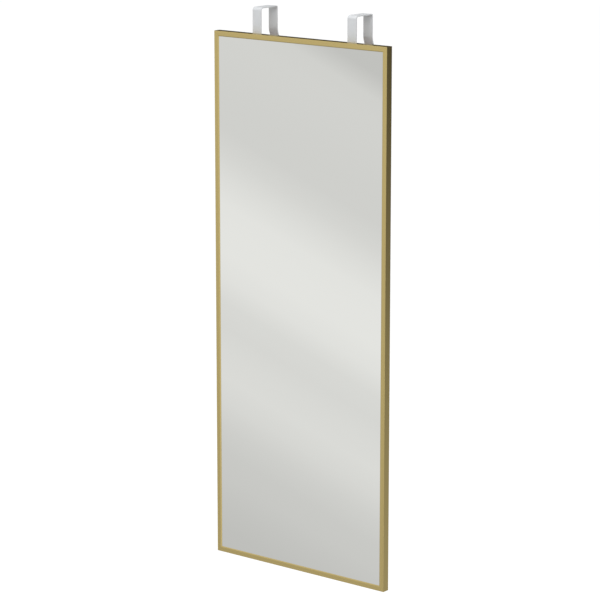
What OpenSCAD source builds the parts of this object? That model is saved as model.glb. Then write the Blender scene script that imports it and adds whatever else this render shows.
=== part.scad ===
// Over-the-door mirror: a tall mirror in a thin metal frame that hangs from two strap hooks.
// The mirror faces -Y, X runs across it and Z is up.
// The origin lies on the door's top edge, midway between the hooks, on the door face that
// the mirror hangs against. The undersides of the hooks are at z = 0, their legs touch y = 0.

/* [Frame] */
// Outer width of the frame
frame_w = 400; // [330:1:600]
// Outer height of the frame
frame_h = 1000; // [500:5:1800]
// Depth of the frame from front to back
frame_d = 15; // [14:0.5:22]
// Width of the frame's front lip, as seen around the mirror
face_w = 10; // [6:0.5:16]
// Thickness of the front lip
lip_t = 1.5; // [1.4:0.1:2.5]
// Thickness of the frame's outer wall
wall_t = 1.2; // [1:0.1:2]
// Chamfer along the lip's inner edge, beside the glass
lip_chamfer = 1.2; // [0.2:0.1:1.2]
// Broken edge along the outer corners of the profile
edge_break = 0.3; // [0.1:0.05:0.6]

/* [Rear channel] */
// Width of the channel along the frame's back
channel_w = 10; // [9:0.5:16]
// Clear height inside the channel
channel_h = 2; // [1.8:0.1:3]
// Thickness of the channel's floor, behind the glazing
web_t = 1; // [0.8:0.1:1.5]
// Thickness of the channel's inner wall
rib_t = 1.2; // [1:0.1:2]
// Thickness of the two lips beside the slot
slot_lip_t = 1.2; // [1:0.1:2]
// Width of the slot that runs along the back
slot_w = 4.6; // [4.4:0.1:5.4]

/* [Glazing] */
// Thickness of the mirror glass
glass_t = 3; // [2:0.5:4]
// Thickness of the safety film on the glass's back
film_t = 0.3; // [0.1:0.05:0.5]
// Thickness of the foam sheet
foam_t = 1.5; // [0.5:0.1:2.2]
// Thickness of the backing board
board_t = 2.5; // [2:0.1:3.2]
// Gap left all round the glazing, inside the frame's wall
glazing_clear = 0.8; // [0.3:0.1:2]

/* [Corner keys] */
// Length of each leg of a corner key, from the frame's outer corner
key_leg = 38; // [28:1:46]
// Thickness of a corner key
key_t = 1.6; // [1.2:0.1:1.8]
// Radius of the fillet in the bend of a corner key
key_fillet = 3; // [1:0.5:6]
// Chamfer on the corners of a key's two ends
key_chamfer = 1.5; // [0.5:0.1:2]
// Distance of each grub screw from the frame's outer corner
grub_at = 26; // [14:1:27]
// Diameter of a grub screw
grub_d = 4; // [3:0.5:4]

/* [Spring clips] */
// Number of spring clips on each stile
stile_clips = 4; // [2:1:6]
// Number of spring clips on each rail
rail_clips = 2; // [2:1:3]
// Distance of the outermost clips from the frame's outer corners
clip_inset = 100; // [60:1:110]
// Length of a spring clip
clip_l = 50; // [30:1:60]
// Width of a spring clip
clip_w = 10; // [6:0.5:14]
// Thickness of the clip's spring steel
clip_t = 0.4; // [0.3:0.05:0.6]

/* [Hooks] */
// Distance of each hook's middle from the frame's outer side
hook_inset = 90; // [70:1:140]
// Width of the hook's strap
hook_w = 20; // [18:0.5:40]
// Thickness of the hook's strap
hook_t = 2; // [1.6:0.1:3]
// Thickness of door that the hooks take
door_gap = 44; // [30:0.5:60]
// Drop from the door's top edge to the top of the frame
frame_drop = 45.5; // [20:0.5:80]
// Inside radius of the bend above the mirror
front_bend_r = 4; // [1:0.5:8]
// Inside radius of the bend at the door's far side
back_bend_r = 1; // [0.5:0.5:6]
// Straight height of the back leg, down to where it flares out
back_leg_h = 37; // [25:1:80]
// Length of the straight end of the flare
flare_l = 9; // [6:1:30]
// Angle of the flared end
flare_angle = 21; // [5:1:30]
// Radius of the gentle bend into the flare
flare_bend_r = 34; // [8:1:50]
// Radius of the corners at the ends of the strap
hook_end_r = 3; // [1:0.5:5]

/* [Hook fastening] */
// Distance between the two screws of a hook
screw_pitch = 11; // [8:0.5:13]
// Diameter of a hook screw
screw_d = 3; // [2.5:0.5:4]
// Diameter of the hook screw's countersunk head
screw_head_d = 5.4; // [5:0.1:6.2]
// Length of a hook screw
screw_l = 4.9; // [4.2:0.1:5]
// Length of the nut plate in the channel
plate_l = 24; // [20:1:40]
// Thickness of the nut plate
plate_t = 1.6; // [1.2:0.1:1.8]

/* [Bumpers] */
// Distance of each bumper's middle from the frame's outer side
bumper_inset = 50; // [50:1:120]
// Diameter of a bumper
bumper_d = 9; // [7:0.5:10]
// Chamfer round the bumper's free face
bumper_chamfer = 0.4; // [0.1:0.1:1]
// How far a bumper's barb reaches behind each side of the slot
barb_lip = 0.5; // [0.2:0.1:0.8]
// Height of the barb's tapered tip
barb_h = 1.2; // [0.8:0.1:1.4]

/* [Hidden] */
$fn = 64;
slide_clear = 0.2;   // side gap of a key or nut plate in the channel
thread_clear = 0.05; // radial gap between a screw and its thread
hole_clear = 0.1;    // gap between a screw or stem and a plain hole or slot
head_sink = 0.05;    // how far a screw head lies below the strap's face
cut = 1;             // overshoot of a cutting tool
skim = 0.002;        // keeps a rounding cut clear of the faces that it runs into
arc_steps = 6;       // straight steps in the bend into a hook's flare

// Depths from the frame's front face to the back.
rebate_d = frame_d - lip_t - web_t - channel_h - slot_lip_t;
web_depth = lip_t + rebate_d;
channel_depth = web_depth + web_t;
slot_lip_depth = channel_depth + channel_h;
spring_gap = rebate_d - glass_t - film_t - foam_t - board_t;

// Distances from the frame's outer edge towards its middle.
channel_mid = (wall_t + channel_w - rib_t) / 2;
channel_clear_w = channel_w - rib_t - wall_t;
key_w = channel_clear_w - 2 * slide_clear;
mitre_w = max(face_w, channel_w);

// Places in the part's own frame.
hook_x = frame_w / 2 - hook_inset;
bumper_x = frame_w / 2 - bumper_inset;
back_y = -hook_t;
front_y = back_y - frame_d;
frame_top = -frame_drop;
frame_mid = frame_top - frame_h / 2;
screw_z = frame_top - channel_mid;
leg_bottom = frame_top - channel_w;

// ---- Frame ----

// Section of the frame: [depth from the front, distance from the outer edge].
module frame_section() {
    slot_near = channel_mid - slot_w / 2;
    slot_far = channel_mid + slot_w / 2;
    rib_face = channel_w - rib_t;
    polygon([
        [0, edge_break],
        [0, face_w - lip_chamfer],
        [lip_chamfer, face_w],
        [lip_t, face_w],
        [lip_t, wall_t],
        [web_depth, wall_t],
        [web_depth, channel_w],
        [frame_d, channel_w],
        [frame_d, slot_far],
        [slot_lip_depth, slot_far],
        [slot_lip_depth, rib_face],
        [channel_depth, rib_face],
        [channel_depth, wall_t],
        [slot_lip_depth, wall_t],
        [slot_lip_depth, slot_near],
        [frame_d, slot_near],
        [frame_d, edge_break],
        [frame_d - edge_break, 0],
        [edge_break, 0]
    ]);
}

// One frame member, mitred at both ends. It runs along X, with its outer edge at z = 0,
// its front at y = 0 and its inner side towards +Z.
module mitred_member(length) {
    end = length / 2;
    intersection() {
        translate([-end, 0, 0])
            rotate([90, 0, 90])
                linear_extrude(length)
                    frame_section();
        translate([0, frame_d, 0])
            rotate([90, 0, 0])
                linear_extrude(frame_d)
                    polygon([
                        [-end, 0],
                        [end, 0],
                        [end - mitre_w, mitre_w],
                        [mitre_w - end, mitre_w]
                    ]);
    }
}

module bottom_rail() {
    color("darkkhaki")
        translate([0, front_y, frame_top - frame_h])
            mitred_member(frame_w);
}

module top_rail() {
    color("darkkhaki")
        translate([0, front_y, frame_top])
            mirror([0, 0, 1])
                mitred_member(frame_w);
}

module stile() {
    translate([-frame_w / 2, front_y, frame_mid])
        rotate([0, 90, 0])
            mitred_member(frame_h);
}

module left_stile() {
    color("darkkhaki")
        stile();
}

module right_stile() {
    color("darkkhaki")
        mirror([1, 0, 0])
            stile();
}

// ---- Corner keys and their grub screws ----

// Places its children at one corner of the frame, where +X and +Z lead towards the middle.
// side is -1 on the left and 1 on the right, level is -1 at the bottom and 1 at the top.
module at_corner(side, level) {
    translate([side * frame_w / 2, front_y, frame_mid + level * frame_h / 2])
        mirror([side > 0 ? 1 : 0, 0, 0])
            mirror([0, 0, level > 0 ? 1 : 0])
                children();
}

// Places its children at both grub screws of a corner, with Z towards the frame's back.
module at_grub_screws() {
    for (place = [[grub_at, channel_mid], [channel_mid, grub_at]])
        translate([place[0], 0, place[1]])
            rotate([-90, 0, 0])
                children();
}

// Outline of a corner key: an L with a filleted bend and chamfered ends, seen from the front.
module key_outline() {
    near = wall_t + slide_clear;
    far = near + key_w;
    shoulder = key_leg - key_chamfer;
    difference() {
        union() {
            polygon([
                [near, near],
                [shoulder, near],
                [key_leg, near + key_chamfer],
                [key_leg, far - key_chamfer],
                [shoulder, far],
                [far, far],
                [far, shoulder],
                [far - key_chamfer, key_leg],
                [near + key_chamfer, key_leg],
                [near, shoulder]
            ]);
            translate([far, far])
                square(key_fillet);
        }
        translate([far + key_fillet, far + key_fillet])
            circle(key_fillet);
    }
}

module corner_key(side, level) {
    color("silver")
        at_corner(side, level)
            difference() {
                translate([0, slot_lip_depth, 0])
                    rotate([90, 0, 0])
                        linear_extrude(key_t)
                            key_outline();
                at_grub_screws()
                    cylinder(r = grub_d / 2 + thread_clear, h = frame_d);
            }
}

module top_left_corner_key() {
    corner_key(-1, 1);
}

module top_right_corner_key() {
    corner_key(1, 1);
}

module bottom_left_corner_key() {
    corner_key(-1, -1);
}

module bottom_right_corner_key() {
    corner_key(1, -1);
}

module corner_grub_screws() {
    color("dimgray")
        for (side = [-1, 1], level = [-1, 1])
            at_corner(side, level)
                at_grub_screws()
                    translate([0, 0, channel_depth])
                        cylinder(d = grub_d, h = frame_d - channel_depth);
}

// ---- Glazing ----

// A sheet that fills the frame, its front lying at a depth behind the frame's front face.
module sheet(depth, thickness) {
    margin = wall_t + glazing_clear;
    width = frame_w - 2 * margin;
    height = frame_h - 2 * margin;
    translate([-width / 2, front_y + depth, frame_mid - height / 2])
        cube([width, thickness, height]);
}

module mirror_glass() {
    color("lightgray")
        sheet(lip_t, glass_t);
}

module safety_film() {
    color("slategray")
        sheet(lip_t + glass_t, film_t);
}

module foam_sheet() {
    color("white")
        sheet(lip_t + glass_t + film_t, foam_t);
}

module backing_board() {
    color("peru")
        sheet(lip_t + glass_t + film_t + foam_t, board_t);
}

// ---- Spring clips ----

// A bowed strip: its middle presses on the board at y = 0, its ends on the web behind.
module spring_clip() {
    bow = spring_gap - clip_t;
    inner_r = (pow(clip_l / 2, 2) + pow(bow, 2)) / (2 * bow);
    outer_r = inner_r + clip_t;
    translate([0, outer_r, wall_t + slide_clear])
        linear_extrude(clip_w)
            intersection() {
                difference() {
                    circle(outer_r, $fn = 720);
                    circle(inner_r, $fn = 720);
                }
                translate([-clip_l / 2, -outer_r - cut])
                    square([clip_l, spring_gap + 2 * cut]);
            }
}

// Clips along one frame member of the given length.
module clip_row(length, count) {
    span = length - 2 * clip_inset;
    for (i = [0 : count - 1])
        translate([-span / 2 + i * span / (count - 1), web_depth - spring_gap, 0])
            spring_clip();
}

module spring_clips() {
    color("gainsboro") {
        for (level = [-1, 1])
            translate([0, front_y, frame_mid + level * frame_h / 2])
                mirror([0, 0, level > 0 ? 1 : 0])
                    clip_row(frame_w, rail_clips);
        for (side = [-1, 1])
            mirror([side > 0 ? 1 : 0, 0, 0])
                translate([-frame_w / 2, front_y, frame_mid])
                    rotate([0, 90, 0])
                        clip_row(frame_h, stile_clips);
    }
}

// ---- Hooks ----

// Points on a circle, from one angle to another.
function arc_points(centre, r, from, to) = [
    for (i = [0 : arc_steps])
        let (angle = from + (to - from) * i / arc_steps)
            centre + r * [cos(angle), sin(angle)]
];

// A quarter of a ring that lies in the corner of -X and +Y.
module quarter_ring(r, t) {
    intersection() {
        difference() {
            circle(r + t);
            circle(r);
        }
        translate([-2 * (r + t), 0])
            square(2 * (r + t));
    }
}

// Side view of the back leg, below its upper bend. It bends away from the door and ends in
// a straight flare.
module back_leg_side() {
    centre = [door_gap + hook_t + flare_bend_r, -back_leg_h];
    along = flare_l * [sin(flare_angle), -cos(flare_angle)];
    flare_end = 180 + flare_angle;
    near_face = arc_points(centre, flare_bend_r + hook_t, 180, flare_end);
    far_face = arc_points(centre, flare_bend_r, flare_end, 180);
    polygon(concat(
        [[door_gap, -back_bend_r]],
        near_face,
        [near_face[arc_steps] + along, far_face[0] + along],
        far_face,
        [[door_gap + hook_t, -back_bend_r]]
    ));
}

// Side view of the strap: X is the depth through the door, Y is the height.
module strap_side() {
    translate([-hook_t, leg_bottom])
        square([hook_t, -front_bend_r - leg_bottom]);
    translate([front_bend_r, -front_bend_r])
        quarter_ring(front_bend_r, hook_t);
    translate([front_bend_r, 0])
        square([door_gap - front_bend_r - back_bend_r, hook_t]);
    translate([door_gap - back_bend_r, -back_bend_r])
        mirror([1, 0])
            quarter_ring(back_bend_r, hook_t);
    back_leg_side();
}

// Cuts the two lower corners of a leg to a radius. The leg's bottom is at z = 0, and it is
// cut over the given depth from y = 0.
module round_leg_corners(depth) {
    for (side = [-1, 1])
        translate([side * (hook_w / 2 - hook_end_r + skim), 0, hook_end_r - skim])
            difference() {
                translate([side > 0 ? 0 : -hook_end_r - cut, 0, -hook_end_r - cut])
                    cube([hook_end_r + cut, depth, hook_end_r + cut]);
                rotate([-90, 0, 0])
                    translate([0, 0, -cut])
                        cylinder(r = hook_end_r, h = depth + 2 * cut);
            }
}

// Places its children at both screws of a hook, on the strap's door side, with Z going
// forward into the frame.
module at_hook_screws() {
    for (side = [-1, 1])
        translate([side * screw_pitch / 2, 0, screw_z])
            rotate([90, 0, 0])
                children();
}

// The countersunk hole for one hook screw, from the strap's face down into it.
module screw_hole() {
    mouth_r = screw_head_d / 2 + head_sink;
    hole_r = screw_d / 2 + hole_clear;
    translate([0, 0, -cut])
        cylinder(r = hole_r, h = hook_t + 2 * cut);
    cylinder(r1 = mouth_r, r2 = hole_r, h = mouth_r - hole_r);
    translate([0, 0, -cut])
        cylinder(r = mouth_r, h = cut);
}

module hook() {
    difference() {
        rotate([90, 0, 90])
            translate([0, 0, -hook_w / 2])
                linear_extrude(hook_w)
                    strap_side();
        at_hook_screws()
            screw_hole();
        translate([0, -hook_t - cut, leg_bottom])
            round_leg_corners(hook_t + 2 * cut);
        translate([0, door_gap + hook_t + flare_bend_r, -back_leg_h])
            rotate([flare_angle, 0, 0])
                translate([0, -flare_bend_r - hook_t - cut, -flare_l])
                    round_leg_corners(hook_t + 2 * cut);
    }
}

module hook_screws() {
    neck = (screw_head_d - screw_d) / 2;
    at_hook_screws()
        translate([0, 0, head_sink]) {
            cylinder(d1 = screw_head_d, d2 = screw_d, h = neck);
            cylinder(d = screw_d, h = screw_l);
        }
}

module nut_plate() {
    difference() {
        translate([-plate_l / 2, front_y + slot_lip_depth - plate_t, screw_z - key_w / 2])
            cube([plate_l, plate_t, key_w]);
        at_hook_screws()
            cylinder(r = screw_d / 2 + thread_clear, h = frame_d);
    }
}

module left_hook() {
    color("lightgray")
        translate([-hook_x, 0, 0])
            hook();
}

module right_hook() {
    color("lightgray")
        translate([hook_x, 0, 0])
            hook();
}

module left_nut_plate() {
    color("silver")
        translate([-hook_x, 0, 0])
            nut_plate();
}

module right_nut_plate() {
    color("silver")
        translate([hook_x, 0, 0])
            nut_plate();
}

module left_hook_screws() {
    color("dimgray")
        translate([-hook_x, 0, 0])
            hook_screws();
}

module right_hook_screws() {
    color("dimgray")
        translate([hook_x, 0, 0])
            hook_screws();
}

// ---- Bumpers ----

// A round bumper on the back of the bottom rail, with a barbed stem that snaps into the slot.
// Its head is as thick as the strap, so that the frame hangs parallel to the door.
module bumper() {
    bumper_r = bumper_d / 2;
    stem_r = slot_w / 2 - hole_clear;
    barb_r = slot_w / 2 + barb_lip;
    barb_z = -slot_lip_t - hole_clear;
    translate([0, back_y, frame_top - frame_h + channel_mid])
        rotate([-90, 0, 0])
            rotate_extrude()
                polygon([
                    [0, barb_z - barb_h],
                    [stem_r, barb_z - barb_h],
                    [barb_r, barb_z],
                    [stem_r, barb_z],
                    [stem_r, 0],
                    [bumper_r, 0],
                    [bumper_r, hook_t - bumper_chamfer],
                    [bumper_r - bumper_chamfer, hook_t],
                    [0, hook_t]
                ]);
}

module left_bumper() {
    color("dimgray")
        translate([-bumper_x, 0, 0])
            bumper();
}

module right_bumper() {
    color("dimgray")
        translate([bumper_x, 0, 0])
            bumper();
}

top_rail();
bottom_rail();
left_stile();
right_stile();
top_left_corner_key();
top_right_corner_key();
bottom_left_corner_key();
bottom_right_corner_key();
corner_grub_screws();
mirror_glass();
safety_film();
foam_sheet();
backing_board();
spring_clips();
left_hook();
right_hook();
left_nut_plate();
right_nut_plate();
left_hook_screws();
right_hook_screws();
left_bumper();
right_bumper();
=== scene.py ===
from math import ceil, cos, pi, radians, sin

import bmesh
import bpy
from mathutils import Matrix, Vector


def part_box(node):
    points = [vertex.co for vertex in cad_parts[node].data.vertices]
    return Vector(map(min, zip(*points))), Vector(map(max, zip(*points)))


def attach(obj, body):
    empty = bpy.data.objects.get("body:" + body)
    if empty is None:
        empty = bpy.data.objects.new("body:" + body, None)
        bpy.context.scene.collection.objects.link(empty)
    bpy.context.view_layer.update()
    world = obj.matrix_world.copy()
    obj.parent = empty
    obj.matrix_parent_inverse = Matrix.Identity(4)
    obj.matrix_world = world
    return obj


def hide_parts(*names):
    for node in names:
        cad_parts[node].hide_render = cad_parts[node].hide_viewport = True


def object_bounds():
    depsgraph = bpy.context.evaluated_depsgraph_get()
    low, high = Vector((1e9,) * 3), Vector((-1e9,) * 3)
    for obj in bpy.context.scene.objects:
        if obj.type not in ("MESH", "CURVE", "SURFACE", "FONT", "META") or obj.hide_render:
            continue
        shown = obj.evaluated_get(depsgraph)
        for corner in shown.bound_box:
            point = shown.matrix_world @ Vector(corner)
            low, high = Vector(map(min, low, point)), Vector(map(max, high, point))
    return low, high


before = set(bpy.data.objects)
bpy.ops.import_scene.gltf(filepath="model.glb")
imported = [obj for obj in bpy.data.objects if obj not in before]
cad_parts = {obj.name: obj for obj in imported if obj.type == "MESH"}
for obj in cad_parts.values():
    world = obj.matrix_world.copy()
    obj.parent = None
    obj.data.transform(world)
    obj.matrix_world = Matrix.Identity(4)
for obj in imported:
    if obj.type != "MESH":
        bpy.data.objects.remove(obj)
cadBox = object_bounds()
cadMiddle = (cadBox[0] + cadBox[1]) / 2
scene = bpy.context.scene
scene.view_settings.view_transform = "Standard"
print("frame loaded:", len(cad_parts), "nodes")


cameraView = {
    "azimuth": 39.151,  # degrees round the mirror to the right, 0 looks straight at it
    "elevation": 12.33,  # degrees above it
    "place": (3.0418, -3.7485, 0.5262),
    "lens": 161.26,  # mm, on a sensor 36 mm wide
    "sensor": 36.0,
    "picture": 600,  # pixels across
    "reach": 200.0,  # m, past the far corners of the floor
}


def makeCamera():
    data = bpy.data.cameras.new("camera")
    data.lens = cameraView["lens"]
    data.sensor_width = cameraView["sensor"]
    data.clip_end = cameraView["reach"]
    camera = bpy.data.objects.new("camera", data)
    camera.location = cameraView["place"]
    tilt = radians(90 - cameraView["elevation"])
    camera.rotation_euler = (tilt, 0, radians(cameraView["azimuth"]))
    scene.collection.objects.link(camera)
    scene.camera = camera


makeCamera()
print("camera placed")


# shader nodes, shared by the studio and the finishes
def feed(tree, socket, value):  # value is another node's output, or a number, colour or scale
    if isinstance(value, bpy.types.NodeSocket):
        tree.links.new(value, socket)
    else:
        socket.default_value = value


def addNode(tree, kind, **inputs):  # an input's name has _ in place of a space
    node = tree.nodes.new(kind)
    for name, value in inputs.items():
        feed(tree, node.inputs[name.replace("_", " ")], value)
    return node


def maths(tree, operation, first, second=0.0):
    node = tree.nodes.new("ShaderNodeMath")
    node.operation = operation
    feed(tree, node.inputs[0], first)
    feed(tree, node.inputs[1], second)
    return node.outputs[0]


def mixed(tree, share, first, second):  # share 0 gives the first colour and 1 the second
    node = tree.nodes.new("ShaderNodeMix")
    node.data_type = "RGBA"
    sockets = {socket.identifier: socket for socket in [*node.inputs, *node.outputs]}
    feed(tree, sockets["Factor_Float"], share)
    feed(tree, sockets["A_Color"], first)
    feed(tree, sockets["B_Color"], second)
    return sockets["Result_Color"]


def grey(level):
    return (level, level, level, 1.0)


def ramp(tree, source, stops, easing="EASE"):  # stops are (position, colour)
    node = tree.nodes.new("ShaderNodeValToRGB")
    node.color_ramp.interpolation = easing
    elements = node.color_ramp.elements
    while len(elements) < len(stops):
        elements.new(0.5)
    for element, (position, colour) in zip(elements, stops):
        element.position = position
        element.color = colour
    feed(tree, node.inputs[0], source)
    return node.outputs[0]


def spread(tree, source, low, high, fromLow=0.0, fromHigh=1.0, easing="LINEAR"):
    node = tree.nodes.new("ShaderNodeMapRange")
    node.interpolation_type = easing
    values = {"Value": source, "From Min": fromLow, "From Max": fromHigh,
              "To Min": low, "To Max": high}
    for name, value in values.items():
        feed(tree, node.inputs[name], value)
    return node.outputs[0]


def toShare(tree, source):  # a value from -1 to 1 becomes one from 0 to 1
    return spread(tree, source, 0, 1, -1, 1)


studio = {
    "bandTilt": 0.62,  # how steeply the light bands in the mirror run down to the right
    # each light band's place, in pixels below the centre of the picture, and brightness
    "bands": [
        (-1700, 0.84), (-1300, 0.98), (-970, 0.76), (-620, 0.99), (-420, 0.94),
        (-280, 0.60), (-240, 0.74), (-130, 0.72), (-35, 0.89), (5, 0.89),
        (65, 0.77), (120, 0.81), (205, 0.67), (280, 0.60),
        (430, 0.38), (700, 0.43), (880, 0.62), (1080, 0.50), (1500, 0.38),
    ],
    "overhead": 0.90,
    "below": 0.38,
    # behind the mirror: height, from 0 straight down to 1 straight up, and brightness
    "behind": [(0.0, 0.62), (0.36, 0.62), (0.41, 0.03), (0.70, 0.03), (0.9, 0.36), (1.0, 0.36)],
    "blend": 0.2,  # how far to each side of the mirror's plane the front and back studio mix
    "fill": 0.61,  # even light from all round, for matt surfaces
}


def bandAxis():  # the direction across the light bands, as the mirror turns it
    azimuth = radians(cameraView["azimuth"])
    elevation = radians(cameraView["elevation"])
    right = Vector((cos(azimuth), -sin(azimuth), 0))
    up = Vector((-sin(azimuth) * sin(elevation), -cos(azimuth) * sin(elevation), cos(elevation)))
    return up + studio["bandTilt"] * right


def frontLight(tree, direction):
    axis = bandAxis()
    pixels = cameraView["lens"] / cameraView["sensor"] * cameraView["picture"]
    span = 2 * axis.length * pixels  # of the whole ramp, from one end of the axis to the other
    stops = [(0.0, grey(studio["overhead"]))]
    stops += [(0.5 + place / span, grey(level)) for place, level in studio["bands"]]
    stops += [(1.0, grey(studio["below"]))]
    across = tree.nodes.new("ShaderNodeVectorMath")
    across.operation = "DOT_PRODUCT"
    feed(tree, across.inputs[0], direction)
    feed(tree, across.inputs[1], -axis.normalized())
    return ramp(tree, toShare(tree, across.outputs["Value"]), stops)


def makeWorld():
    world = bpy.data.worlds.new("studio")
    scene.world = world
    world.use_nodes = True
    tree = world.node_tree
    tree.nodes.clear()
    direction = tree.nodes.new("ShaderNodeTexCoord").outputs["Generated"]
    front = frontLight(tree, direction)

    parts = addNode(tree, "ShaderNodeSeparateXYZ", Vector=direction).outputs
    heights = [(place, grey(level)) for place, level in studio["behind"]]
    behind = ramp(tree, toShare(tree, parts["Z"]), heights)
    blend = studio["blend"]
    backward = spread(tree, parts["Y"], 0, 1, -blend, blend, "SMOOTHSTEP")
    mirrored = mixed(tree, backward, front, behind)  # what metal and mirror show

    path = tree.nodes.new("ShaderNodeLightPath").outputs
    lighting = mixed(tree, path["Is Glossy Ray"], grey(studio["fill"]), mirrored)
    shown = maths(tree, "MAXIMUM", path["Is Camera Ray"], path["Is Transmission Ray"])
    colour = mixed(tree, shown, lighting, grey(1.0))
    background = addNode(tree, "ShaderNodeBackground", Color=colour, Strength=1.0)
    addNode(tree, "ShaderNodeOutputWorld", Surface=background.outputs[0])


softboxes = {  # in metres and watts
    "key": {"place": (1.8, -4.3, 2.4), "size": 2.2, "power": 84},
    "top": {"place": (0.4, -0.6, 3.4), "size": 2.8, "power": 95},
    "back": {"place": (2.2, 3.8, 2.0), "size": 2.6, "power": 90},
}


def makeSoftbox(name, place, size, power):
    data = bpy.data.lights.new(name, "AREA")
    data.shape = "SQUARE"
    data.size = size
    data.energy = power
    lamp = bpy.data.objects.new(name, data)
    aim = cadMiddle - Vector(place)
    turn = aim.to_track_quat("-Z", "Y").to_matrix().to_4x4()
    lamp.matrix_world = Matrix.Translation(place) @ turn
    lamp.visible_glossy = False  # only the studio's bands shine in the metal and the mirror
    scene.collection.objects.link(lamp)


floorSheet = {
    "level": -2.0,  # a door's height below the hooks
    "size": 80.0,
    "paint": 0.8,  # for the light that it throws back
    "white": 0.95,  # what the camera always sees of it
    "shading": 0.12,  # and the share of light and shadow that is added
}


def paleFloor():
    material = bpy.data.materials.new("paleFloor")
    material.use_nodes = True
    tree = material.node_tree
    tree.nodes.clear()
    seen = tree.nodes.new("ShaderNodeLightPath").outputs["Is Camera Ray"]
    colour = spread(tree, seen, floorSheet["paint"], floorSheet["shading"])
    paint = addNode(tree, "ShaderNodeBsdfDiffuse", Color=colour)
    glow = addNode(tree, "ShaderNodeEmission", Color=grey(floorSheet["white"]), Strength=seen)
    both = tree.nodes.new("ShaderNodeAddShader")
    feed(tree, both.inputs[0], paint.outputs[0])
    feed(tree, both.inputs[1], glow.outputs[0])
    addNode(tree, "ShaderNodeOutputMaterial", Surface=both.outputs[0])
    return material


def makeFloor():
    bm = bmesh.new()
    bmesh.ops.create_grid(bm, x_segments=1, y_segments=1, size=floorSheet["size"] / 2,
                          matrix=Matrix.Translation((0, 0, floorSheet["level"])))
    mesh = bpy.data.meshes.new("floor")
    bm.to_mesh(mesh)
    bm.free()
    mesh.materials.append(paleFloor())
    floor = bpy.data.objects.new("floor", mesh)
    scene.collection.objects.link(floor)
    floor.visible_glossy = False


makeWorld()
for lampName, settings in softboxes.items():
    makeSoftbox(lampName, **settings)
makeFloor()
print("studio lit")


# finishes: "tones" are the darkest and lightest share of the colour, "roughness" is one value
# or the smoothest and roughest spot, and a scale is in repeats for each metre along X, Y, Z
def newFinish(name, colour, metallic=0.0, roughness=0.5):
    material = bpy.data.materials.new(name)
    material.use_nodes = True
    tree = material.node_tree
    shader = tree.nodes["Principled BSDF"]
    shader.inputs["Base Color"].default_value = (*colour, 1.0)
    shader.inputs["Metallic"].default_value = metallic
    shader.inputs["Roughness"].default_value = roughness
    return material, tree, shader


def placeOnPiece(tree):
    return tree.nodes.new("ShaderNodeTexCoord").outputs["Object"]


def grain(tree, scale, detail=2.0, roughness=0.5):
    mapping = addNode(tree, "ShaderNodeMapping", Vector=placeOnPiece(tree), Scale=scale)
    noise = addNode(tree, "ShaderNodeTexNoise", Vector=mapping.outputs[0], Scale=1.0,
                    Detail=detail, Roughness=roughness)
    return noise.outputs[0]


def cells(tree, scale):
    node = addNode(tree, "ShaderNodeTexVoronoi", Vector=placeOnPiece(tree), Scale=scale)
    return node.outputs["Distance"]


def tones(finish):
    return [tuple(channel * share for channel in finish["colour"]) for share in finish["tones"]]


def tone(tree, shader, source, dark, light, low=0.3, high=0.7):
    colour = ramp(tree, source, [(low, (*dark, 1.0)), (high, (*light, 1.0))], "LINEAR")
    feed(tree, shader.inputs["Base Color"], colour)


def polish(tree, shader, source, smooth, rough, low=0.3, high=0.7):
    feed(tree, shader.inputs["Roughness"], spread(tree, source, smooth, rough, low, high))


def relief(tree, shader, source, depth):  # depth in metres
    bump = addNode(tree, "ShaderNodeBump", Height=source, Strength=1.0, Distance=depth)
    feed(tree, shader.inputs["Normal"], bump.outputs[0])


gold = {
    "colour": (0.636, 0.503, 0.209),
    "tones": (0.96, 1.04),
    "roughness": (0.29, 0.35),
    "across": 2600,  # die lines for each metre across the profile
    "along": 5,  # and along it
    "lineDetail": 2.0,
    "streakSize": 9,  # how much larger the streaks of tone are than the die lines
    "streakDetail": 3.0,
    "depth": 0.000006,
}


def satinGold(name, axis):  # axis is the one that the profile runs along
    material, tree, shader = newFinish(name, gold["colour"], metallic=1.0)
    scale = [gold["along"] if letter == axis else gold["across"] for letter in "XYZ"]
    lines = grain(tree, scale, gold["lineDetail"])
    wide = [repeats / gold["streakSize"] for repeats in scale]
    tone(tree, shader, grain(tree, wide, gold["streakDetail"]), *tones(gold))
    polish(tree, shader, lines, *gold["roughness"])
    relief(tree, shader, lines, gold["depth"])
    return material


silvering = {
    "colour": (0.865, 0.870, 0.835),
    "roughness": (0.0, 0.012),
    "wipes": {"scale": (3, 3, 9), "detail": 3.0, "roughness": 0.6},
    "wipeRange": (0.45, 0.75),  # the part of the grain that dulls the mirror
}


def mirrorSilver():
    material, tree, shader = newFinish("mirrorSilver", silvering["colour"], metallic=1.0)
    wipes = grain(tree, **silvering["wipes"])
    polish(tree, shader, wipes, *silvering["roughness"], *silvering["wipeRange"])
    return material


hookMetal = {
    "colour": (0.665, 0.681, 0.696),
    "tones": (0.965, 1.02),
    "metallic": 0.25,
    "roughness": (0.40, 0.48),
    "brushing": {"scale": (2200, 60, 60), "detail": 3.0},
    "depth": 0.000006,
}


def satinHook():
    material, tree, shader = newFinish("satinHook", hookMetal["colour"], hookMetal["metallic"])
    lines = grain(tree, **hookMetal["brushing"])
    tone(tree, shader, lines, *tones(hookMetal))
    polish(tree, shader, lines, *hookMetal["roughness"])
    relief(tree, shader, lines, hookMetal["depth"])
    return material


zinc = {
    "colour": (0.62, 0.64, 0.66),
    "tones": (0.88, 1.08),
    "toneRange": (0.1, 0.8),  # the part of the spangle that the tones run over
    "roughness": (0.28, 0.42),
    "spangle": 700,
    "bloom": {"scale": (260, 260, 260), "detail": 3.0},
}


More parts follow.
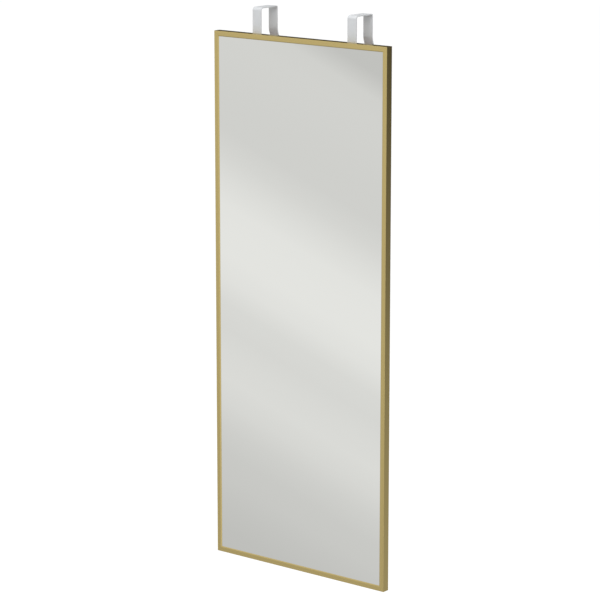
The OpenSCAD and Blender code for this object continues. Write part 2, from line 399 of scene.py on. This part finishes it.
def zincPlate():
    material, tree, shader = newFinish("zincPlate", zinc["colour"], metallic=1.0)
    tone(tree, shader, cells(tree, zinc["spangle"]), *tones(zinc), *zinc["toneRange"])
    polish(tree, shader, grain(tree, **zinc["bloom"]), *zinc["roughness"])
    return material


spring = {
    "colour": (0.40, 0.41, 0.43),
    "tones": (0.9, 1.1),
    "roughness": (0.25, 0.36),
    "rolling": {"scale": (900, 40, 900), "detail": 2.0},
}


def springSteel():
    material, tree, shader = newFinish("springSteel", spring["colour"], metallic=1.0)
    lines = grain(tree, **spring["rolling"])
    tone(tree, shader, lines, *tones(spring))
    polish(tree, shader, lines, *spring["roughness"])
    return material


oxide = {
    "colour": (0.045, 0.045, 0.048),
    "tones": (0.75, 1.4),
    "metallic": 0.85,
    "roughness": (0.42, 0.6),
    "mottle": {"scale": (900, 900, 900), "detail": 3.0},
}


def blackOxide():
    material, tree, shader = newFinish("blackOxide", oxide["colour"], oxide["metallic"])
    mottle = grain(tree, **oxide["mottle"])
    tone(tree, shader, mottle, *tones(oxide))
    polish(tree, shader, mottle, *oxide["roughness"])
    return material


rubber = {
    "colour": (0.055, 0.055, 0.058),
    "tones": (0.85, 1.2),
    "roughness": (0.62, 0.78),
    "texture": {"scale": (2400, 2400, 2400), "detail": 3.0},
    "depth": 0.00002,
}


def mattRubber():
    material, tree, shader = newFinish("mattRubber", rubber["colour"])
    texture = grain(tree, **rubber["texture"])
    tone(tree, shader, texture, *tones(rubber))
    polish(tree, shader, texture, *rubber["roughness"])
    relief(tree, shader, texture, rubber["depth"])
    return material


board = {
    "dark": (0.185, 0.118, 0.072),
    "light": (0.258, 0.170, 0.106),
    "toneRange": (0.32, 0.68),
    "roughness": (0.55, 0.75),
    "fibres": {"scale": (520, 520, 210), "detail": 6.0, "roughness": 0.65},
    "clouds": {"scale": (55, 55, 40), "detail": 4.0, "roughness": 0.6},
    "cloudShare": 0.25,  # of the tone, beside the fibres
    "depth": 0.00005,
}


def hardboard():
    material, tree, shader = newFinish("hardboard", board["light"])
    fibres = grain(tree, **board["fibres"])
    clouds = grain(tree, **board["clouds"])
    fine = maths(tree, "MULTIPLY", fibres, 1 - board["cloudShare"])
    broad = maths(tree, "MULTIPLY", clouds, board["cloudShare"])
    both = maths(tree, "ADD", fine, broad)
    tone(tree, shader, both, board["dark"], board["light"], *board["toneRange"])
    polish(tree, shader, fibres, *board["roughness"])
    relief(tree, shader, fibres, board["depth"])
    return material


foam = {
    "colour": (0.80, 0.80, 0.78),
    "tones": (0.92, 1.0),
    "toneRange": (0.1, 0.6),
    "roughness": 0.9,
    "cell": 900,
    "depth": 0.0002,
}


def closedCellFoam():
    material, tree, shader = newFinish("closedCellFoam", foam["colour"],
                                       roughness=foam["roughness"])
    bubbles = cells(tree, foam["cell"])
    tone(tree, shader, bubbles, *tones(foam), *foam["toneRange"])
    relief(tree, shader, bubbles, foam["depth"])
    return material


film = {
    "colour": (0.16, 0.19, 0.23),
    "tones": (0.8, 1.25),
    "toneRange": (0.2, 0.8),
    "roughness": 0.45,
    "threads": 900,  # for each metre
    "depth": 0.00004,
}


def wovenFilm():
    material, tree, shader = newFinish("wovenFilm", film["colour"], roughness=film["roughness"])
    parts = addNode(tree, "ShaderNodeSeparateXYZ", Vector=placeOnPiece(tree)).outputs
    warp, weft = (
        maths(tree, "SINE", maths(tree, "MULTIPLY", parts[axis], film["threads"] * pi))
        for axis in ("X", "Z")
    )
    weave = toShare(tree, maths(tree, "MULTIPLY", warp, weft))
    tone(tree, shader, weave, *tones(film), *film["toneRange"])
    relief(tree, shader, weave, film["depth"])
    return material


finishes = {
    "goldRail": satinGold("satinGoldRail", "X"),
    "goldStile": satinGold("satinGoldStile", "Z"),
    "mirror": mirrorSilver(),
    "hook": satinHook(),
    "zinc": zincPlate(),
    "spring": springSteel(),
    "oxide": blackOxide(),
    "rubber": mattRubber(),
    "board": hardboard(),
    "foam": closedCellFoam(),
    "film": wovenFilm(),
}
print("finishes mixed:", len(finishes))


# shaping, shared by the pieces
tolerance = {
    "point": 0.000001,  # m, within which points are one
    "flat": 0.5,  # degrees, within which faces are one flat face
    "crisp": 32,  # degrees, from which an edge is shaded sharp
    "soften": 30,  # degrees, from which an edge is softened
}


def addPiece(name, bm, nodes, finish):
    mesh = bpy.data.meshes.new(name)
    bm.to_mesh(mesh)
    bm.free()
    mesh.materials.append(finishes[finish])
    piece = bpy.data.objects.new(name, mesh)
    scene.collection.objects.link(piece)
    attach(piece, "root")
    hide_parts(*nodes)
    return piece


def levelFaces(piece):  # keeps the shading of large flat faces flat, up to their softened edges
    modifier = piece.modifiers.new("level faces", "WEIGHTED_NORMAL")
    modifier.keep_sharp = True


def mergedNode(node):  # the node's loose triangles, merged and with whole flat faces
    bm = bmesh.new()
    bm.from_mesh(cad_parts[node].data)
    bmesh.ops.remove_doubles(bm, verts=bm.verts, dist=tolerance["point"])
    bmesh.ops.dissolve_limit(bm, angle_limit=radians(tolerance["flat"]), verts=bm.verts,
                             edges=bm.edges, use_dissolve_boundaries=False, delimit=set())
    return bm


def shade(bm):  # smooth, with the sharper edges kept crisp
    for face in bm.faces:
        face.smooth = True
    for edge in bm.edges:
        edge.smooth = edge.is_manifold and edge.calc_face_angle() < radians(tolerance["crisp"])


def roundEdges(bm, edges, width, steps):
    bmesh.ops.bevel(bm, geom=edges, offset=width, offset_type="OFFSET", segments=steps,
                    profile=0.5, affect="EDGES", clamp_overlap=True, material=-1)


def soften(bm, edge, steps):
    sharp = [line for line in bm.edges
             if line.is_manifold and line.calc_face_angle() > radians(tolerance["soften"])]
    roundEdges(bm, sharp, edge, steps)


def dressSoftened(node, ending, finish, settings):  # the node's own shape, edges softened
    bm = mergedNode(node)
    soften(bm, **settings)
    shade(bm)
    levelFaces(addPiece(node + ending, bm, [node], finish))


def solidBoxes(node):  # the box of each separate solid in a node, from left to right
    bm = mergedNode(node)
    waiting = set(bm.verts)
    boxes = []
    while waiting:
        solid = set()
        near = {waiting.pop()}
        while near:
            solid |= near
            near = {edge.other_vert(vert) for vert in near for edge in vert.link_edges} - solid
        waiting -= solid
        sides = [[vert.co[axis] for vert in solid] for axis in range(3)]
        boxes.append((Vector(map(min, sides)), Vector(map(max, sides))))
    bm.free()
    return sorted(boxes, key=lambda box: tuple(box[0]))


def turnedSizes(box):  # radius and length of a turned piece that lies along Y
    low, high = box
    return (high.x - low.x) / 2, high.y - low.y


def repeated(single, places):  # one mesh with a copy of the shape at each place
    mesh = bpy.data.meshes.new("single")
    single.to_mesh(mesh)
    single.free()
    whole = bmesh.new()
    for place in places:
        before = len(whole.verts)
        whole.from_mesh(mesh)
        whole.verts.ensure_lookup_table()
        bmesh.ops.transform(whole, matrix=place, verts=whole.verts[before:])
    bpy.data.meshes.remove(mesh)
    return whole


def facingBack(box, turn=0.0):  # stands a shape drawn along Z on the back end of a box
    middle = (box[0] + box[1]) / 2
    spot = Matrix.Translation((middle.x, box[1].y, middle.z))
    return spot @ Matrix.Rotation(radians(-90), 4, "X") @ Matrix.Rotation(turn, 4, "Z")


def drawLine(bm, outline):  # an open line of radius and height, beside the Z axis
    verts = [bm.verts.new((radius, 0, height)) for radius, height in outline]
    return verts + [bm.edges.new(pair) for pair in zip(verts, verts[1:])]


# screws: drawn along Z, with the head's top at 0 and the tip below
threading = {
    "spareTurns": 3,  # beyond the thread's length, trimmed away at both ends
    "weld": 0.01,  # share of the pitch within which points are one
    "trim": 0.001,  # and within which they lie on the plane that trims
}


def newVerts(made):
    return [item for item in made if isinstance(item, bmesh.types.BMVert)]


def openEdges(made):
    return [item for item in made if isinstance(item, bmesh.types.BMEdge) and item.is_boundary]


def cutThread(bm, thread, top, bottom):  # a right-hand thread, whose two open rims it returns
    pitch = thread["pitch"]
    turns = ceil((top - bottom) / pitch) + threading["spareTurns"]
    start = top + thread["lead"] * pitch
    tooth = drawLine(bm, [(radius, start - share * pitch) for share, radius in thread["tooth"]])
    bmesh.ops.spin(bm, geom=tooth, axis=(0, 0, 1), cent=(0, 0, 0), angle=-2 * pi * turns,
                   steps=thread["sides"] * turns, dvec=(0, 0, -pitch / thread["sides"]))
    bmesh.ops.remove_doubles(bm, verts=bm.verts, dist=pitch * threading["weld"])
    rims = []
    for height, way in ((top, 1), (bottom, -1)):
        whole = bm.verts[:] + bm.edges[:] + bm.faces[:]
        made = bmesh.ops.bisect_plane(bm, geom=whole, dist=pitch * threading["trim"],
                                      plane_co=(0, 0, height), plane_no=(0, 0, way),
                                      clear_outer=True)
        rims.append(openEdges(made["geom_cut"]))
    return rims


def carryRim(bm, rim, circles):  # draws an open rim on through circles of radius and height
    for radius, height in circles:
        made = bmesh.ops.extrude_edge_only(bm, edges=rim)["geom"]
        for vert in newVerts(made):
            vert.co.xy = vert.co.xy.normalized() * radius
            vert.co.z = height
        rim = openEdges(made)
    return rim


def fillRim(bm, edges):
    bmesh.ops.triangle_fill(bm, use_beauty=True, edges=edges)


def sinkRecess(bm, rim, outline, depth, taper):  # a driver recess in the face inside a rim
    corners = [bm.verts.new((*corner, 0)) for corner in outline]
    mouth = [bm.edges.new(pair) for pair in zip(corners, corners[1:] + corners[:1])]
    fillRim(bm, rim + mouth)
    made = bmesh.ops.extrude_edge_only(bm, edges=mouth)["geom"]
    for vert in newVerts(made):
        vert.co.xy *= taper
        vert.co.z = -depth
    fillRim(bm, openEdges(made))


def buildScrew(screw, length, threadTop, head, outline):  # head is the circles above the thread
    bm = bmesh.new()
    top, bottom = cutThread(bm, screw["thread"], threadTop, screw["tipLength"] - length)
    fillRim(bm, carryRim(bm, bottom, [(screw["tip"], -length)]))
    sinkRecess(bm, carryRim(bm, top, head), outline, screw["recessDepth"], screw["recessTaper"])
    bmesh.ops.recalc_face_normals(bm, faces=bm.faces)
    shade(bm)
    return bm


def turnedPlaces(boxes, screw):  # the screws of one node stop at different angles
    return [facingBack(box, radians(screw["firstTurn"] + screw["nextTurn"] * index))
            for index, box in enumerate(boxes)]


profile = {"edge": 0.00012, "steps": 2}  # width of the softened edges, and their steps


def dressFrame():
    for node, finish in (("top_rail", "goldRail"), ("bottom_rail", "goldRail"),
                         ("left_stile", "goldStile"), ("right_stile", "goldStile")):
        dressSoftened(node, "_profile", finish, profile)


dressFrame()
print("frame dressed")


cornerKey = {"edge": 0.0002, "steps": 2}


def dressKeys():
    for corner in ("top_left", "top_right", "bottom_left", "bottom_right"):
        dressSoftened(corner + "_corner_key", "_plated", "zinc", cornerKey)


grubScrew = {
    "chamfer": 0.00025,
    "tip": 0.0009,  # radius of the flat end
    "tipLength": 0.0005,  # of the cone above it
    "socket": 0.00115,  # from the middle to a corner of the hexagon
    "recessDepth": 0.0015,
    "recessTaper": 0.96,
    "firstTurn": 0,  # degrees
    "nextTurn": 23,
    "thread": {
        "pitch": 0.0007,
        "sides": 28,  # for each turn
        "lead": 1.29,  # pitches above the thread's top at which it starts
        # one tooth, from groove to groove: share of the pitch, and radius
        "tooth": [(0, 0.00158), (0.42, 0.00198), (0.56, 0.00198), (1, 0.00158)],
    },
}


def makeGrubScrews():
    node = "corner_grub_screws"
    boxes = solidBoxes(node)
    radius, length = turnedSizes(boxes[0])
    chamfer, reach = grubScrew["chamfer"], grubScrew["socket"]
    hexagon = [(reach * cos(pi * side / 3), reach * sin(pi * side / 3)) for side in range(6)]
    head = [(radius - chamfer, 0)]
    screw = buildScrew(grubScrew, length, -chamfer, head, hexagon)
    whole = repeated(screw, turnedPlaces(boxes, grubScrew))
    addPiece(node + "_threaded", whole, [node], "oxide")


dressKeys()
makeGrubScrews()
print("corner joints made")


strap = {"edge": 0.0003, "steps": 3}
nutPlate = {"edge": 0.00018, "steps": 2}

hookScrew = {
    "neck": 0.00148,  # radius under the head
    "rimEdge": 0.00008,  # of the head's softened rim
    "tip": 0.0011,
    "tipLength": 0.0004,
    "recessReach": 0.00145,  # from the middle to the end of a wing
    "recessHalf": 0.00036,  # half a wing's width
    "recessDepth": 0.0013,
    "recessTaper": 0.62,
    "firstTurn": 14,
    "nextTurn": 51,
    "thread": {
        "pitch": 0.0005,
        "sides": 24,
        "lead": 1.31,
        "tooth": [(0, 0.00121), (0.42, 0.00149), (0.56, 0.00149), (1, 0.00121)],
    },
}


def crossOutline(reach, half):
    wing = [Vector((reach, -half)), Vector((reach, half)), Vector((half, half))]
    turns = [Matrix.Rotation(quarter * pi / 2, 2) for quarter in range(4)]
    return [turn @ corner for turn in turns for corner in wing]


def makeHookScrews(side):
    node = side + "_hook_screws"
    boxes = solidBoxes(node)
    radius, length = turnedSizes(boxes[0])
    neck, rimEdge = hookScrew["neck"], hookScrew["rimEdge"]
    headDepth = radius - neck  # the countersink is a right angle
    head = [(neck, -headDepth), (radius - rimEdge, -rimEdge), (radius - 2 * rimEdge, 0)]
    cross = crossOutline(hookScrew["recessReach"], hookScrew["recessHalf"])
    screw = buildScrew(hookScrew, length, -headDepth - rimEdge, head, cross)
    whole = repeated(screw, turnedPlaces(boxes, hookScrew))
    addPiece(node + "_threaded", whole, [node], "zinc")


def dressHooks():
    for side in ("left", "right"):
        dressSoftened(side + "_hook", "_strap", "hook", strap)
    for side in ("left", "right"):
        makeHookScrews(side)
        dressSoftened(side + "_nut_plate", "_tapped", "zinc", nutPlate)


dressHooks()
print("hooks made")


bumper = {
    "edge": 0.0004,
    "steps": 4,
    "sides": 56,
    "dish": 0.0003,  # depth of the dimple in the free face, at its middle
    "dishStep": 0.0001,  # and at dishRadius, from where it rises to dishRim
    "dishRadius": 0.0022,
    "dishRim": 0.00253,
    "stem": 0.0022,
    "barb": 0.0028,
    "barbTop": 0.0033,  # from the free face down to the barb
}


def makeBumper(side):
    node = side + "_bumper"
    box = solidBoxes(node)[0]
    radius, length = turnedSizes(box)
    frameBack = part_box("bottom_rail")[1].y
    headDepth = box[1].y - frameBack
    dish = [(0, -bumper["dish"]), (bumper["dishRadius"], -bumper["dishStep"]),
            (bumper["dishRim"], 0)]
    head = [(radius, 0), (radius, -headDepth), (bumper["stem"], -headDepth)]
    barb = [(bumper["stem"], -bumper["barbTop"]), (bumper["barb"], -bumper["barbTop"]),
            (bumper["stem"], -length), (0, -length)]
    bm = bmesh.new()
    bmesh.ops.spin(bm, geom=drawLine(bm, dish + head + barb), axis=(0, 0, 1), cent=(0, 0, 0),
                   angle=2 * pi, steps=bumper["sides"], use_merge=True)
    bmesh.ops.remove_doubles(bm, verts=bm.verts, dist=tolerance["point"])
    bmesh.ops.recalc_face_normals(bm, faces=bm.faces)
    crown = [edge for edge in bm.edges
             if all(abs(vert.co.xy.length - radius) < tolerance["point"]
                    and vert.co.z > -headDepth / 2 for vert in edge.verts)]
    roundEdges(bm, crown, bumper["edge"], bumper["steps"])
    shade(bm)
    addPiece(node + "_moulding", repeated(bm, [facingBack(box)]), [node], "rubber")


for bumperSide in ("left", "right"):
    makeBumper(bumperSide)
print("bumpers made")


sheets = {
    "mirror_glass": "mirror",
    "safety_film": "film",
    "foam_sheet": "foam",
    "backing_board": "board",
}


def dressSheets():  # flat sheets, whose own solids need only their finish
    for node, finish in sheets.items():
        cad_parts[node].material_slots[0].material = finishes[finish]


def dressSpringClips():
    bm = mergedNode("spring_clips")
    shade(bm)
    addPiece("spring_clips_bowed", bm, ["spring_clips"], "spring")


dressSheets()
dressSpringClips()
print("glazing dressed")
